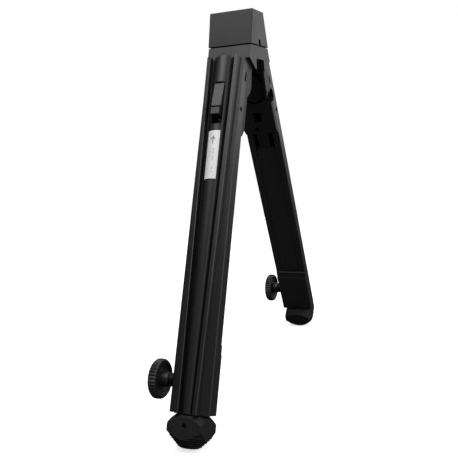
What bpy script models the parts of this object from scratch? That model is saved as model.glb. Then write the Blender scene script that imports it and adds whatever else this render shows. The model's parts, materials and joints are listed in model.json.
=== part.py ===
"""Folding two-legged support stand: a wedge head, two ribbed legs that swing out from it,
a telescoping bar with a rubber foot in each leg, and a thumbscrew that clamps each bar.

Frame: +X to the right across the legs, +Y to the back, +Z up, metres. The origin lies on
the floor midway between the feet. The near leg leans to -Y and the far leg to +Y.

Leg pieces are drawn in leg coordinates: x across the leg, q inwards from the base plane of
its outer face, and s down the leg from the top end of its shell. Mesh axes are x, q, -s.
"""

import math

import bmesh
import bpy
from mathutils import Matrix, Vector

# Driving dimensions, metres and radians.
LEG_TILT = math.radians(24.0)
LEG_WIDTH = 0.0400
LEG_LENGTH = 0.3480
SIDE_DEPTH = 0.0125
SHELL_WALL = 0.0020
LIP_GAP_HALF = 0.0123
LEG_TOP_SPREAD = 0.0405
LEG_TOP_DROP = 0.0145

RIB_HEIGHT = 0.0067
RIB_WIDTH = 0.0050
RIB_HALF_SPACING_TOP = 0.0127
RIB_HALF_SPACING_END = 0.0066
WING_SLOPE = 0.42
BOSS_CREST = 0.0079
BOSS_GROOVE = 0.0013

HEAD_WIDTH = 0.0478
HEAD_TOP_DEPTH = 0.0334
HEAD_SLOPE = 0.295
CAP_HEIGHT = 0.0361
CAP_WALL = 0.0025
SEAM = 0.0008
SEAM_INSET = 0.0006
BODY_HEIGHT = 0.0133
BODY_SLOPE = 0.42
BODY_WALL = 0.0030
DECK = 0.0028
TONGUE_DROP = 0.0106
TONGUE_TIP = 0.0138
NOTCH_HALF = 0.0118
WINDOW_WIDTH = 0.0062
WINDOW_HEIGHT = 0.0060
HOOK_RECESS = 0.0012

HINGE_HALF_SPACING = 0.0160
HINGE_BELOW_DECK = 0.0070
HINGE_PIN_RADIUS = 0.0020
LUG_RADIUS = 0.0052
LUG_OUTER = 0.0174
LUG_THICKNESS = 0.0048
YOKE_THICKNESS = 0.0018
YOKE_DEPTH_HALF = 0.0225
SCREW_RADIUS = 0.0015

EAR_THICKNESS = 0.0032
PLATE_Q = 0.0187
PLATE_TOP = 0.0408
PLATE_END = 0.0790
TONGUE_HALF_WIDTH = 0.0064
RECESS_S = 0.0567
DISC_RADIUS = 0.0155
DISC_S = 0.0245
DISC_TOP = 0.0170
CUP_CLEARANCE = 0.0006
CUP_WALL = 0.0023
FLOOR_THICKNESS = 0.0008
RIVET_S = 0.0540
RIVET_Q = 0.0055
RIVET_RADIUS = 0.0023

SLOT_HALF_WIDTH = 0.0056
SLOT_TOP = 0.0285
SLOT_END = 0.0734
SLOT_CORNER = 0.0024
LATCH_TRAVEL = 0.0070
LATCH_HALF_WIDTH = 0.0040
LATCH_END = 0.0610
CROSS_PIN_RADIUS = 0.0015
CROSS_PIN_S = 0.0129
CROSS_PIN_Q = 0.0095
SPRING_RADIUS = 0.0017
SPRING_WIRE = 0.0004
SPRING_TURNS = 7

LABEL_TOP = 0.0803
LABEL_LENGTH = 0.0496
LABEL_HALF_WIDTH = 0.0063
LABEL_CENTRE = -0.0009
LABEL_THICKNESS = 0.0003

BAR_TOP = 0.0985
BAR_HALF_WIDTH = 0.0155
BAR_WALL = 0.0016
BAR_INTO_FOOT = 0.0145
GUIDE_LENGTH = 0.0120

COLLAR_TOP = 0.2885
COLLAR_DEPTH = 0.0028
COLLAR_BAND = 0.0062
CLAMP_S = 0.3200
CLAMP_Q = 0.0055
STUD_RADIUS = 0.0025
PAD_RADIUS = 0.0038
PAD_THICKNESS = 0.0012
BUSH_RADIUS = 0.0062
BUSH_HEIGHT = 0.0040
KNOB_RADIUS = 0.0184
KNOB_RIM = 0.0082
KNOB_CENTRE = 0.0356
KNOB_TEETH = 36
KNOB_STEPS = 4
KNOB_GROOVE = 0.0010

FOOT_WIDTH = 0.0342
FOOT_Q = 0.0085
FOOT_SOLE_S = 0.3778
FOOT_CORNER = 0.0244
FOOT_CORNER_LOW = 0.0156
FOOT_SHOULDER = 0.0205
FOOT_SHOULDER_SLOPE = 1.1
FOOT_SOLE_RADIUS = 0.0088
FOOT_SOLE_ROUND = 0.0022
FOOT_RIDGES = 5
FOOT_FIRST_RIDGE = 0.0024
FOOT_RIDGE_PITCH = 0.0021
FOOT_RIDGE_STEP = 0.0005
FOOT_CLEARANCE = 0.0012
SOLE_FLAT_FROM = 0.0037
SOLE_FLAT_LENGTH = 0.0101
FOOT_PIN_S = 0.3578
FOOT_PIN_RADIUS = 0.0016
FOOT_PIN_HEAD = -0.0060
FOOT_PIN_TIP = 0.0125
FOOT_RECESS_RADIUS = 0.0024

GAP = 0.0003
NEAR, FAR = -1, 1
SIDE_NAMES = {NEAR: "near", FAR: "far"}

# Sizes that follow from the ones above.
HALF_WIDTH = LEG_WIDTH / 2
SEAT_Q = SIDE_DEPTH + GAP
FLOOR_Q = SEAT_Q + FLOOR_THICKNESS
SIN, COS = math.sin(LEG_TILT), math.cos(LEG_TILT)
LEG_DROP = CAP_HEIGHT + LEG_TOP_DROP
BODY_TOP = CAP_HEIGHT + SEAM
BODY_BOTTOM = BODY_TOP + BODY_HEIGHT
FLAT_Q = FOOT_Q + SOLE_FLAT_FROM
TOTAL_HEIGHT = LEG_DROP + FOOT_SOLE_S * COS + FLAT_Q * SIN
FOOT_Y = LEG_TOP_SPREAD + FOOT_SOLE_S * SIN - FLAT_Q * COS - SOLE_FLAT_LENGTH / 2
CENTRE_X = (KNOB_CENTRE + KNOB_RIM / 2 - HEAD_WIDTH / 2) / 2
HINGE_DROP = BODY_TOP + DECK + HINGE_BELOW_DECK


def leg_coordinates(out, drop):
    """(q, s) of a point at distance out from the middle plane and drop below the top."""
    along, down = out - LEG_TOP_SPREAD, drop - LEG_DROP
    return down * SIN - along * COS, along * SIN + down * COS


HINGE_Q, HINGE_S = leg_coordinates(HINGE_HALF_SPACING, HINGE_DROP)


# ---------------------------------------------------------------- mesh helpers
def prism(outline, low, high, axis="X"):
    """A bmesh of an outline pushed along an axis; the outline holds the other two axes."""
    order = {"X": (2, 0, 1), "Y": (0, 2, 1), "Z": (0, 1, 2)}[axis]
    bm = bmesh.new()
    verts = []
    for u, v in outline:
        point = (u, v, low)
        verts.append(bm.verts.new([point[i] for i in order]))
    face = bm.faces.new(verts)
    pushed = bmesh.ops.extrude_face_region(bm, geom=[face])["geom"]
    step = [(0, 0, high - low)[i] for i in order]
    moved = [item for item in pushed if isinstance(item, bmesh.types.BMVert)]
    bmesh.ops.translate(bm, verts=moved, vec=step)
    bmesh.ops.recalc_face_normals(bm, faces=bm.faces)
    return bm


def box(x, y, z):
    """A bmesh box between the pairs of limits x, y and z."""
    bm = bmesh.new()
    bmesh.ops.create_cube(bm, size=1.0)
    size = [high - low for low, high in (x, y, z)]
    middle = [(high + low) / 2 for low, high in (x, y, z)]
    bmesh.ops.scale(bm, vec=size, verts=bm.verts)
    bmesh.ops.translate(bm, vec=middle, verts=bm.verts)
    return bm


def leg_box(half_x, q, s):
    """A box in leg coordinates, even about the leg's middle."""
    return box((-half_x, half_x), q, (-s[1], -s[0]))


def leg_prism(outline, x):
    """A prism across the leg whose outline holds (q, s) points."""
    return prism([(q, -s) for q, s in outline], x[0], x[1], "X")


def turned(profile, axis, centre, segments=32):
    """A closed turned body; the profile holds (radius, height) from axis to axis."""
    bm = bmesh.new()
    verts = [bm.verts.new((radius, 0, height)) for radius, height in profile]
    edges = [bm.edges.new(pair) for pair in zip(verts, verts[1:])]
    bmesh.ops.spin(bm, geom=verts + edges, axis=(0, 0, 1), cent=(0, 0, 0),
                   angle=math.tau, steps=segments, use_merge=True)
    bmesh.ops.remove_doubles(bm, verts=bm.verts, dist=1e-6)
    bmesh.ops.recalc_face_normals(bm, faces=bm.faces)
    turn = Vector((0, 0, 1)).rotation_difference(Vector(axis)).to_matrix().to_4x4()
    bmesh.ops.transform(bm, matrix=Matrix.Translation(centre) @ turn, verts=bm.verts)
    return bm


def cylinder(radius, low, high, axis, centre, segments=24):
    """A plain cylinder between two heights along an axis through centre."""
    profile = [(0, low), (radius, low), (radius, high), (0, high)]
    return turned(profile, axis, centre, segments)


def arc(centre, radius, start, end, steps):
    """Points on an arc, angles in degrees."""
    points = []
    for i in range(steps + 1):
        angle = math.radians(start + (end - start) * i / steps)
        points.append((centre[0] + radius * math.cos(angle), centre[1] + radius * math.sin(angle)))
    return points


def rounded_rectangle(u, v, radius, steps=4):
    """The outline of a rectangle with round corners between the limits u and v."""
    return (
        arc((u[1] - radius, v[1] - radius), radius, 0, 90, steps)
        + arc((u[0] + radius, v[1] - radius), radius, 90, 180, steps)
        + arc((u[0] + radius, v[0] + radius), radius, 180, 270, steps)
        + arc((u[1] - radius, v[0] + radius), radius, 270, 360, steps)
    )


def soften(bm, width, edges=None, segments=2):
    """Bevels the given edges, or all sharp ones, and returns the bmesh."""
    chosen = edges if edges is not None else [
        edge for edge in bm.edges if len(edge.link_faces) == 2 and edge.calc_face_angle() > 0.5]
    bmesh.ops.bevel(bm, geom=chosen, offset=width, affect="EDGES", segments=segments,
                    profile=0.5, material=-1)
    return bm


def as_object(bm, name="tool"):
    mesh = bpy.data.meshes.new(name)
    bm.to_mesh(mesh)
    bm.free()
    obj = bpy.data.objects.new(name, mesh)
    bpy.context.scene.collection.objects.link(obj)
    return obj


def combine(target, tools, operation):
    """Joins to, cuts from or keeps from the target each bmesh in tools."""
    for bm in tools:
        tool = as_object(bm)
        modifier = target.modifiers.new(operation.lower(), "BOOLEAN")
        modifier.operation = operation
        modifier.solver = "EXACT"
        modifier.object = tool
        evaluated = target.evaluated_get(bpy.context.evaluated_depsgraph_get())
        mesh = bpy.data.meshes.new_from_object(evaluated)
        target.modifiers.clear()
        target.data = mesh
        bpy.data.objects.remove(tool)
    return target


def solid(parts, cuts=(), keeps=()):
    """One object from the bmeshes in parts, less cuts, within keeps."""
    obj = as_object(parts[0])
    combine(obj, parts[1:], "UNION")
    combine(obj, cuts, "DIFFERENCE")
    return combine(obj, keeps, "INTERSECT")


# ---------------------------------------------------------------- placing
def material(name, colour, roughness, metallic=0.0):
    made = bpy.data.materials.new(name)
    made.use_nodes = True
    shader = made.node_tree.nodes["Principled BSDF"]
    shader.inputs["Base Color"].default_value = (*colour, 1.0)
    shader.inputs["Roughness"].default_value = roughness
    shader.inputs["Metallic"].default_value = metallic
    return made


def finish(obj, name, finish_material, smooth=True):
    obj.name = name
    obj.data.name = name
    obj.data.materials.clear()
    obj.data.materials.append(finish_material)
    if smooth:
        obj.data.shade_smooth()
        obj.data.set_sharp_from_angle(angle=math.radians(35))
    return obj


def empty(name, location, rotation=0.0):
    obj = bpy.data.objects.new(name, None)
    obj.location = location
    obj.rotation_euler = (rotation, 0, 0)
    bpy.context.scene.collection.objects.link(obj)
    return obj


def from_top(x, y, drop):
    """A world point given by its x from the head's middle and its drop below the cap's top."""
    return Vector((x + CENTRE_X, y, TOTAL_HEIGHT - drop))


def place_on_leg(obj, side, leg, origin=(0.0, 0.0, 0.0), turn=0.0):
    """Hangs an object drawn in leg coordinates on a leg, mirrored for the far one.

    origin is the object's own origin (x, q, s); turn is its extra tilt on the leg.
    """
    x, q, s = origin
    own = Vector((x, q, -s))
    obj.data.transform(Matrix.Translation(-own))
    place = own - Vector((0, HINGE_Q, -HINGE_S))
    if side == FAR:
        obj.data.transform(Matrix.Scale(-1, 4, Vector((0, 1, 0))))
        obj.data.flip_normals()
        place.y = -place.y
    obj.parent = leg
    obj.location = place
    obj.rotation_euler = (turn * -side, 0, 0)
    return obj


# ---------------------------------------------------------------- head
def head_half_depth(drop):
    """Half the head's depth at a drop below its top."""
    return HEAD_TOP_DEPTH / 2 + HEAD_SLOPE * drop


def head_wedge(top, bottom, inset, half_x):
    """A slice of the head's wedge, all of its faces moved in by inset."""
    corners = [
        (-head_half_depth(top) + inset, -top), (head_half_depth(top) - inset, -top),
        (head_half_depth(bottom) - inset, -bottom), (-head_half_depth(bottom) + inset, -bottom),
    ]
    return prism(corners, -half_x, half_x, "X")


def window_box(reach, grow=0.0):
    """The snap window through the cap's side walls."""
    return box((-reach, reach), (-WINDOW_WIDTH / 2 - grow, WINDOW_WIDTH / 2 + grow),
               (-CAP_HEIGHT - SEAM, -CAP_HEIGHT + WINDOW_HEIGHT))


def make_head_cap(plastic):
    """The wedge cap, a shell open below, with a snap window in each side."""
    half = HEAD_WIDTH / 2
    outer = soften(head_wedge(0, CAP_HEIGHT, 0, half), 0.0007)
    inner = head_wedge(CAP_WALL * 1.2, CAP_HEIGHT * 1.2, CAP_WALL, half - CAP_WALL)
    obj = solid([outer], [inner, window_box(HEAD_WIDTH)])
    finish(obj, "head_cap", plastic)
    obj.location = from_top(0, 0, 0)


def body_half_depth(drop):
    """Half the body's depth at a drop below the head's top; it flares more than the cap."""
    return head_half_depth(BODY_TOP) + BODY_SLOPE * (drop - BODY_TOP)


def body_outline():
    """Side view of the head body (y, -drop): wedge, two pointed tongues and a notch."""
    top, bottom = body_half_depth(BODY_TOP), body_half_depth(BODY_BOTTOM)
    tip = BODY_BOTTOM + TONGUE_DROP
    half = [
        (top - SEAM_INSET, -BODY_TOP), (bottom - SEAM_INSET, -BODY_BOTTOM),
        (TONGUE_TIP + 0.0012, -tip), (TONGUE_TIP, -tip - 0.0006),
        (NOTCH_HALF + 0.0008, -tip + 0.0004), (NOTCH_HALF, -BODY_BOTTOM - 0.0008),
        (NOTCH_HALF - 0.0008, -BODY_BOTTOM),
    ]
    return half + [(-y, z) for y, z in reversed(half)]


def make_head_body(plastic):
    """The lower head: deck, front and back walls, and side walls with pointed tongues."""
    half = HEAD_WIDTH / 2 - SEAM_INSET
    inside = half - BODY_WALL
    deck = BODY_TOP + DECK
    cavity_top = body_half_depth(deck) - BODY_WALL * 1.1
    cavity_low = body_half_depth(BODY_BOTTOM * 1.3) - BODY_WALL * 1.1
    cavity = prism([(-cavity_top, -deck), (cavity_top, -deck), (cavity_low, -BODY_BOTTOM * 1.3),
                    (-cavity_low, -BODY_BOTTOM * 1.3)], -inside, inside, "X")
    below = box((-inside, inside), (-cavity_low, cavity_low), (-BODY_BOTTOM * 1.3, -BODY_BOTTOM))
    hooks = []
    for sign in (-1, 1):
        face = half - HOOK_RECESS
        lift = CAP_HEIGHT - WINDOW_HEIGHT + GAP
        barb = box(sorted((sign * (half - CAP_WALL - 0.0020), sign * face)),
                   (-WINDOW_WIDTH / 2 + GAP, WINDOW_WIDTH / 2 - GAP), (-BODY_TOP - 0.001, -lift))
        hooks.append(barb)
    pins = [cylinder(SCREW_RADIUS + GAP, -DECK * 2, DECK * 2, (0, 0, 1), (x, 0, -deck))
            for x in (-0.011, 0.011)]
    obj = solid([prism(body_outline(), -half, half, "X"), *hooks], [cavity, below, *pins])
    finish(obj, "head_body", plastic)
    obj.location = from_top(0, 0, 0)


def make_hinge_yoke(steel):
    """The steel yoke under the deck whose side plates hold both hinge pins."""
    deck = BODY_TOP + DECK + GAP
    inner = LUG_OUTER + GAP
    outer = inner + YOKE_THICKNESS
    web = box((-outer, outer), (-YOKE_DEPTH_HALF + 0.002, YOKE_DEPTH_HALF - 0.002),
              (-deck - YOKE_THICKNESS * 0.6, -deck))
    low = HINGE_DROP + LUG_RADIUS
    plates = []
    for sign in (-1, 1):
        outline = [(-YOKE_DEPTH_HALF + 0.002, -deck), (-YOKE_DEPTH_HALF + 0.001, -HINGE_DROP)]
        outline += arc((-HINGE_HALF_SPACING, -HINGE_DROP), low - HINGE_DROP, 200, 270, 5)
        outline += arc((HINGE_HALF_SPACING, -HINGE_DROP), low - HINGE_DROP, 270, 340, 5)
        outline += [(YOKE_DEPTH_HALF - 0.001, -HINGE_DROP), (YOKE_DEPTH_HALF - 0.002, -deck)]
        plates.append(prism(outline, *sorted((sign * inner, sign * outer)), "X"))
    bores = [cylinder(HINGE_PIN_RADIUS + GAP, -outer * 2, outer * 2, (1, 0, 0),
                      (0, side * HINGE_HALF_SPACING, -HINGE_DROP)) for side in (NEAR, FAR)]
    holes = [cylinder(SCREW_RADIUS + GAP, -DECK, DECK, (0, 0, 1), (x, 0, -deck))
             for x in (-0.011, 0.011)]
    obj = solid([web, *plates], [*bores, *holes])
    finish(obj, "hinge_yoke", steel)
    obj.location = from_top(0, 0, 0)


def make_yoke_screws(steel):
    """Two pan-head screws from below that hold the yoke to the deck."""
    top = BODY_TOP + GAP
    seat = BODY_TOP + DECK + GAP + YOKE_THICKNESS * 0.6 + GAP
    profile = [(0, -seat - 0.0016), (0.0018, -seat - 0.0016), (0.0028, -seat - 0.0006),
               (0.0028, -seat), (SCREW_RADIUS, -seat), (SCREW_RADIUS, -top), (0, -top)]
    for index, x in enumerate((-0.011, 0.011)):
        obj = as_object(turned(profile, (0, 0, 1), (0, 0, 0), 16))
        finish(obj, f"yoke_screw_{index + 1}", steel)
        obj.location = from_top(x, 0, 0)


def make_hinge_pins(steel):
    """The two steel pins that the legs turn on."""
    reach = LUG_OUTER + GAP + YOKE_THICKNESS + 0.0008
    for side in (NEAR, FAR):
        obj = as_object(soften(cylinder(HINGE_PIN_RADIUS, -reach, reach, (1, 0, 0), (0, 0, 0), 20),
                               0.0003, segments=1))
        finish(obj, f"{SIDE_NAMES[side]}_hinge_pin", steel)
        obj.location = from_top(0, side * HINGE_HALF_SPACING, HINGE_DROP)


# ---------------------------------------------------------------- leg shell
def along(top, end, s):
    """A value that runs evenly from the shell's top end to its bottom end."""
    return top + (end - top) * s / LEG_LENGTH


def rib_inner(s):
    return along(RIB_HALF_SPACING_TOP, RIB_HALF_SPACING_END, s)


def rib_foot(s):
    """How far the wing stands out at the ribs' inner foot."""
    return WING_SLOPE * (HALF_WIDTH - rib_inner(s) - RIB_WIDTH * 0.5) * 0.62


def boss_height(x, s, inset=0.0):
    """How far the central round boss stands out at x; inset moves its surface in."""
    half = rib_inner(s) - BOSS_GROOVE - inset
    rise = BOSS_CREST - inset - rib_foot(s) + inset * 0.4
    radius = (half * half + rise * rise) / (2 * rise)
    return BOSS_CREST - inset - radius + math.sqrt(max(radius * radius - x * x, 0.0))


def shell_section(s):
    """Half of the shell's closed section at s, as (x, q), from the boss's crest round."""
    inner, foot = rib_inner(s), rib_foot(s)
    half = inner - BOSS_GROOVE
    boss = [(half * i / 7, -boss_height(half * i / 7, s)) for i in range(8)]
    top = foot + RIB_HEIGHT
    outer_foot = WING_SLOPE * (HALF_WIDTH - inner - RIB_WIDTH) * 0.62
    wide = HALF_WIDTH - SHELL_WALL
    hollow = half - SHELL_WALL
    ribs = [
        (inner, -foot), (inner + 0.0002, -top + 0.0006), (inner + 0.0008, -top),
        (inner + RIB_WIDTH - 0.0014, -top + 0.0004), (inner + RIB_WIDTH - 0.0006, -top + 0.0012),
        (inner + RIB_WIDTH, -outer_foot),
    ]
    sides = [
        (HALF_WIDTH - 0.0006, -0.0002), (HALF_WIDTH, 0.0005), (HALF_WIDTH, SIDE_DEPTH),
        (LIP_GAP_HALF, SIDE_DEPTH), (LIP_GAP_HALF, SIDE_DEPTH - SHELL_WALL),
        (wide, SIDE_DEPTH - SHELL_WALL), (wide, SHELL_WALL), (hollow, SHELL_WALL),
    ]
    roof = [(hollow * i / 6, -boss_height(hollow * i / 6, s, SHELL_WALL)) for i in range(6, -1, -1)]
    return boss + ribs + sides + roof


def make_leg_shell(side, leg, aluminium):
    """The outer leg: a C section with two ribs and a boss that close in down the leg."""
    bm = bmesh.new()
    rings = []
    for s in (0.0, LEG_LENGTH):
        half = shell_section(s)
        outer = half[:-7]
        roof = half[-7:]
        outline = [(-x, q) for x, q in reversed(outer[1:])] + outer + roof
        outline += [(-x, q) for x, q in reversed(roof[:-1])]
        rings.append([bm.verts.new((x, q, -s)) for x, q in outline])
    count = len(rings[0])
    for i in range(count):
        j = (i + 1) % count
        bm.faces.new((rings[0][i], rings[0][j], rings[1][j], rings[1][i]))
    for ring in rings:
        bm.faces.new(ring)
    bmesh.ops.recalc_face_normals(bm, faces=bm.faces)
    obj = solid([bm], shell_cuts(side))
    finish(obj, f"{SIDE_NAMES[side]}_leg_shell", aluminium)
    place_on_leg(obj, side, leg)


def shell_cuts(side):
    """Slots and holes in the shell: button slot, pin slots, rivet holes, bush hole, label."""
    reach = LEG_WIDTH
    slot = prism(rounded_rectangle((-SLOT_HALF_WIDTH, SLOT_HALF_WIDTH), (-SLOT_END, -SLOT_TOP),
                                   SLOT_CORNER), 0, 1, "Z")
    bmesh.ops.transform(slot, matrix=Matrix(((1, 0, 0, 0), (0, 0, 0.02, -0.0205), (0, 1, 0, 0),
                                             (0, 0, 0, 1))), verts=slot.verts)
    bmesh.ops.recalc_face_normals(slot, faces=slot.faces)
    cuts = [slot, pin_slot(reach)]
    cuts.append(cylinder(RIVET_RADIUS + GAP, -reach, reach, (1, 0, 0), (0, RIVET_Q, -RIVET_S)))
    cuts.append(cylinder(PAD_RADIUS + 2 * GAP, 0, reach, (-1, 0, 0),
                         (-HALF_WIDTH * 0.5, CLAMP_Q, -CLAMP_S)))
    cuts += [corner_pocket(side), side_pocket(side, SHELL_WALL * 1.3)]
    if side == NEAR:
        cuts.append(label_sheet(LABEL_THICKNESS + GAP, -0.004, GAP))
    return cuts


def pin_slot(reach):
    """The slot through the leg that the latch's cross pin travels in."""
    radius = CROSS_PIN_RADIUS + GAP
    top = arc((CROSS_PIN_Q, -CROSS_PIN_S), radius, 0, 180, 6)
    end = arc((CROSS_PIN_Q, -CROSS_PIN_S - LATCH_TRAVEL - GAP), radius, 180, 360, 6)
    return prism(top + end, -reach, reach, "X")


def label_sheet(deep, shallow, grow):
    """A sheet bent to the boss, between two depths under its surface."""
    bm = bmesh.new()
    half = LABEL_HALF_WIDTH + grow
    ends = (LABEL_TOP - grow, LABEL_TOP + LABEL_LENGTH + grow)
    xs = [LABEL_CENTRE + half * (i / 4 - 1) for i in range(9)]
    rings = []
    for s in ends:
        low = [bm.verts.new((x, -boss_height(x, s) + deep, -s)) for x in xs]
        high = [bm.verts.new((x, -boss_height(x, s) + shallow, -s)) for x in reversed(xs)]
        rings.append(low + high)
    count = len(rings[0])
    for i in range(count):
        j = (i + 1) % count
        bm.faces.new((rings[0][i], rings[0][j], rings[1][j], rings[1][i]))
    for ring in rings:
        bm.faces.new(ring)
    bmesh.ops.recalc_face_normals(bm, faces=bm.faces)
    return bm


def make_label(side, leg, paper):
    obj = as_object(label_sheet(LABEL_THICKNESS + 0.00002, 0.00002, 0.0))
    finish(obj, f"{SIDE_NAMES[side]}_label", paper)
    place_on_leg(obj, side, leg)


# ---------------------------------------------------------------- hinge bracket
def ear_outline():
    """Side view (q, s) of an ear: straight top, bulged inner edge, slanted lower end."""
    return [
        (0.0050, -0.0027), (0.0228, -0.0027), (0.0236, -0.0020), (0.0246, 0.0080),
        (0.0262, 0.0135), (0.0270, 0.0175), (0.0268, 0.0220), (0.0255, 0.0262),
        (0.0215, 0.0315), (PLATE_Q - 0.0006, 0.0360), (PLATE_Q, PLATE_TOP),
        (SEAT_Q, PLATE_TOP + 0.002), (SEAT_Q, -GAP), (0.0050, -GAP),
    ]


def lug_outline():
    """Side view (q, s) of a hinge lug: a round eye and an arm down into the bracket."""
    eye = arc((HINGE_Q, HINGE_S), LUG_RADIUS, 180, 360, 10)
    return eye + [(HINGE_Q + LUG_RADIUS - 0.0004, 0.0030), (HINGE_Q - 0.0030, 0.0060),
                  (SEAT_Q + 0.0002, 0.0060), (SEAT_Q + 0.0002, 0.0005)]


def bracket_insert():
    """The part of the bracket inside the shell, with a neck between the shell's lips."""
    wide = HALF_WIDTH - SHELL_WALL - GAP
    neck = LIP_GAP_HALF - GAP
    body = leg_box(wide, (SHELL_WALL + GAP, SIDE_DEPTH - SHELL_WALL - GAP), (0.0004, PLATE_END))
    throat = leg_box(neck, (SIDE_DEPTH - SHELL_WALL - 0.001, FLOOR_Q - 0.0002),
                     (0.0004, PLATE_END))
    return [body, throat]


def cup_wall():
    """The round wall below the hinge cover, its rim slanted like the ears."""
    inner = DISC_RADIUS + CUP_CLEARANCE
    centre = (0, -DISC_S)
    ring = arc(centre, inner + CUP_WALL, 180, 360, 20) + arc(centre, inner, 360, 180, 20)
    wall = solid([prism(ring, SEAT_Q, 0.028, "Y")], [],
                 [leg_prism(ear_outline(), (-HALF_WIDTH, HALF_WIDTH))])
    bm = bmesh.new()
    bm.from_mesh(wall.data)
    bpy.data.objects.remove(wall)
    return bm


def corner_pocket(side):
    """The open corner outside the cup wall, on the side that faces right on the far leg."""
    outer = DISC_RADIUS + CUP_CLEARANCE + CUP_WALL + 0.0001
    rim = [(side * x, z) for x, z in arc((0, -DISC_S), outer, -3, -59, 10)]
    corner = rim + [(side * 0.0210, rim[-1][1]), (side * 0.0210, rim[0][1])]
    return prism(corner, 0.0090, 0.0300, "Y")


def side_pocket(side, depth):
    """The pocket in the leg's side next to the open corner, in the shell and the bracket."""
    outline = [(0.0105, 0.0262), (0.0072, 0.0285), (0.0062, 0.0370), (0.0078, 0.0390),
               (0.0180, 0.0400), (0.0180, 0.0262)]
    return leg_prism(outline, sorted((side * (HALF_WIDTH - depth), side * LEG_WIDTH)))


def make_bracket(side, leg, casting):
    """The hinge bracket: insert, floor, ears, lugs, plate with recess, and tail tongue."""
    parts = bracket_insert()
    parts.append(leg_box(HALF_WIDTH - 0.0005, (SEAT_Q, FLOOR_Q), (0.0004, PLATE_TOP + 0.001)))
    parts.append(leg_box(HALF_WIDTH, (SEAT_Q, PLATE_Q), (PLATE_TOP, PLATE_END - 0.0065)))
    taper = [(SEAT_Q, PLATE_END - 0.0075), (PLATE_Q, PLATE_END - 0.0075),
             (PLATE_Q - 0.0040, PLATE_END), (SEAT_Q, PLATE_END)]
    parts.append(leg_prism(taper, (-HALF_WIDTH, HALF_WIDTH)))
    tail = [(SEAT_Q - 0.0015, PLATE_END - 0.006), (PLATE_Q - 0.0012, PLATE_END - 0.006),
            (PLATE_Q - 0.0030, PLATE_END + 0.004), (SEAT_Q, BAR_TOP - GAP * 2),
            (SEAT_Q - 0.0015, BAR_TOP - GAP * 2)]
    parts.append(leg_prism(tail, (-TONGUE_HALF_WIDTH, TONGUE_HALF_WIDTH)))
    for sign in (-1, 1):
        ear = sorted((sign * HALF_WIDTH, sign * (HALF_WIDTH - EAR_THICKNESS)))
        parts.append(leg_prism(ear_outline(), ear))
        lug = sorted((sign * LUG_OUTER, sign * (LUG_OUTER - LUG_THICKNESS)))
        parts.append(leg_prism(lug_outline(), lug))
    obj = solid(parts, bracket_cuts())
    combine(obj, [cup_wall()], "UNION")
    combine(obj, [corner_pocket(side), side_pocket(side, 0.0060)], "DIFFERENCE")
    finish(obj, f"{SIDE_NAMES[side]}_hinge_bracket", casting)
    place_on_leg(obj, side, leg)


def bracket_cuts():
    """Everything that is cut out of the bracket."""
    reach = LEG_WIDTH
    inner = HALF_WIDTH - EAR_THICKNESS
    slot_half = LATCH_HALF_WIDTH + GAP
    cuts = [
        leg_box(inner - 0.0002, (FLOOR_Q, 0.05), (0.0045, PLATE_TOP)),
        leg_box(LUG_OUTER - LUG_THICKNESS, (FLOOR_Q - 0.0045, 0.05), (-0.05, 0.0095)),
        leg_box(slot_half, (-0.01, FLOOR_Q - 0.0007), (-0.001, CROSS_PIN_S + LATCH_TRAVEL + 0.0035)),
        leg_prism(rounded_recess(), (-0.0050, 0.0050)),
        pin_slot(reach),
        cylinder(RIVET_RADIUS + GAP, -reach, reach, (1, 0, 0), (0, RIVET_Q, -RIVET_S)),
        cylinder(0.0026, -0.004, 0.02, (0, 1, 0), (-0.0033, PLATE_Q - 0.0050, -0.0718)),
        cylinder(HINGE_PIN_RADIUS + GAP, -reach, reach, (1, 0, 0), (0, HINGE_Q, -HINGE_S)),
    ]
    return cuts


def rounded_recess():
    """Side view of the recess in the plate: straight walls and a flat bottom."""
    return [(0.0085, RECESS_S - 0.0060), (0.05, RECESS_S - 0.0060), (0.05, RECESS_S + 0.0060),
            (0.0085, RECESS_S + 0.0060)]


def make_hinge_disc(side, leg, casting):
    """The round cover with a bevelled rim that closes the well between the ears."""
    low, top = FLOOR_Q + GAP, DISC_TOP
    profile = [(0, low), (DISC_RADIUS, low), (DISC_RADIUS, top - 0.0016),
               (DISC_RADIUS - 0.0004, top - 0.0008), (DISC_RADIUS - 0.0018, top),
               (DISC_RADIUS - 0.0030, top), (DISC_RADIUS - 0.0038, top - 0.0007),
               (0.0042, top - 0.0010), (0, top - 0.0010)]
    obj = as_object(turned(profile, (0, 1, 0), (0, 0, -DISC_S), 40))
    finish(obj, f"{SIDE_NAMES[side]}_hinge_cover", casting)
    place_on_leg(obj, side, leg, (0, 0, DISC_S))


def make_bracket_rivet(side, leg, steel):
    """The hollow rivet across the leg that holds the bracket in the shell."""
    reach = HALF_WIDTH - 0.0009
    tube = cylinder(RIVET_RADIUS, -reach, reach, (1, 0, 0), (0, RIVET_Q, -RIVET_S), 20)
    bore = cylinder(RIVET_RADIUS - 0.0008, -LEG_WIDTH, LEG_WIDTH, (1, 0, 0),
                    (0, RIVET_Q, -RIVET_S), 20)
    finish(solid([tube], [bore]), f"{SIDE_NAMES[side]}_bracket_rivet", steel)
    place_on_leg(bpy.data.objects[f"{SIDE_NAMES[side]}_bracket_rivet"], side, leg)


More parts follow.
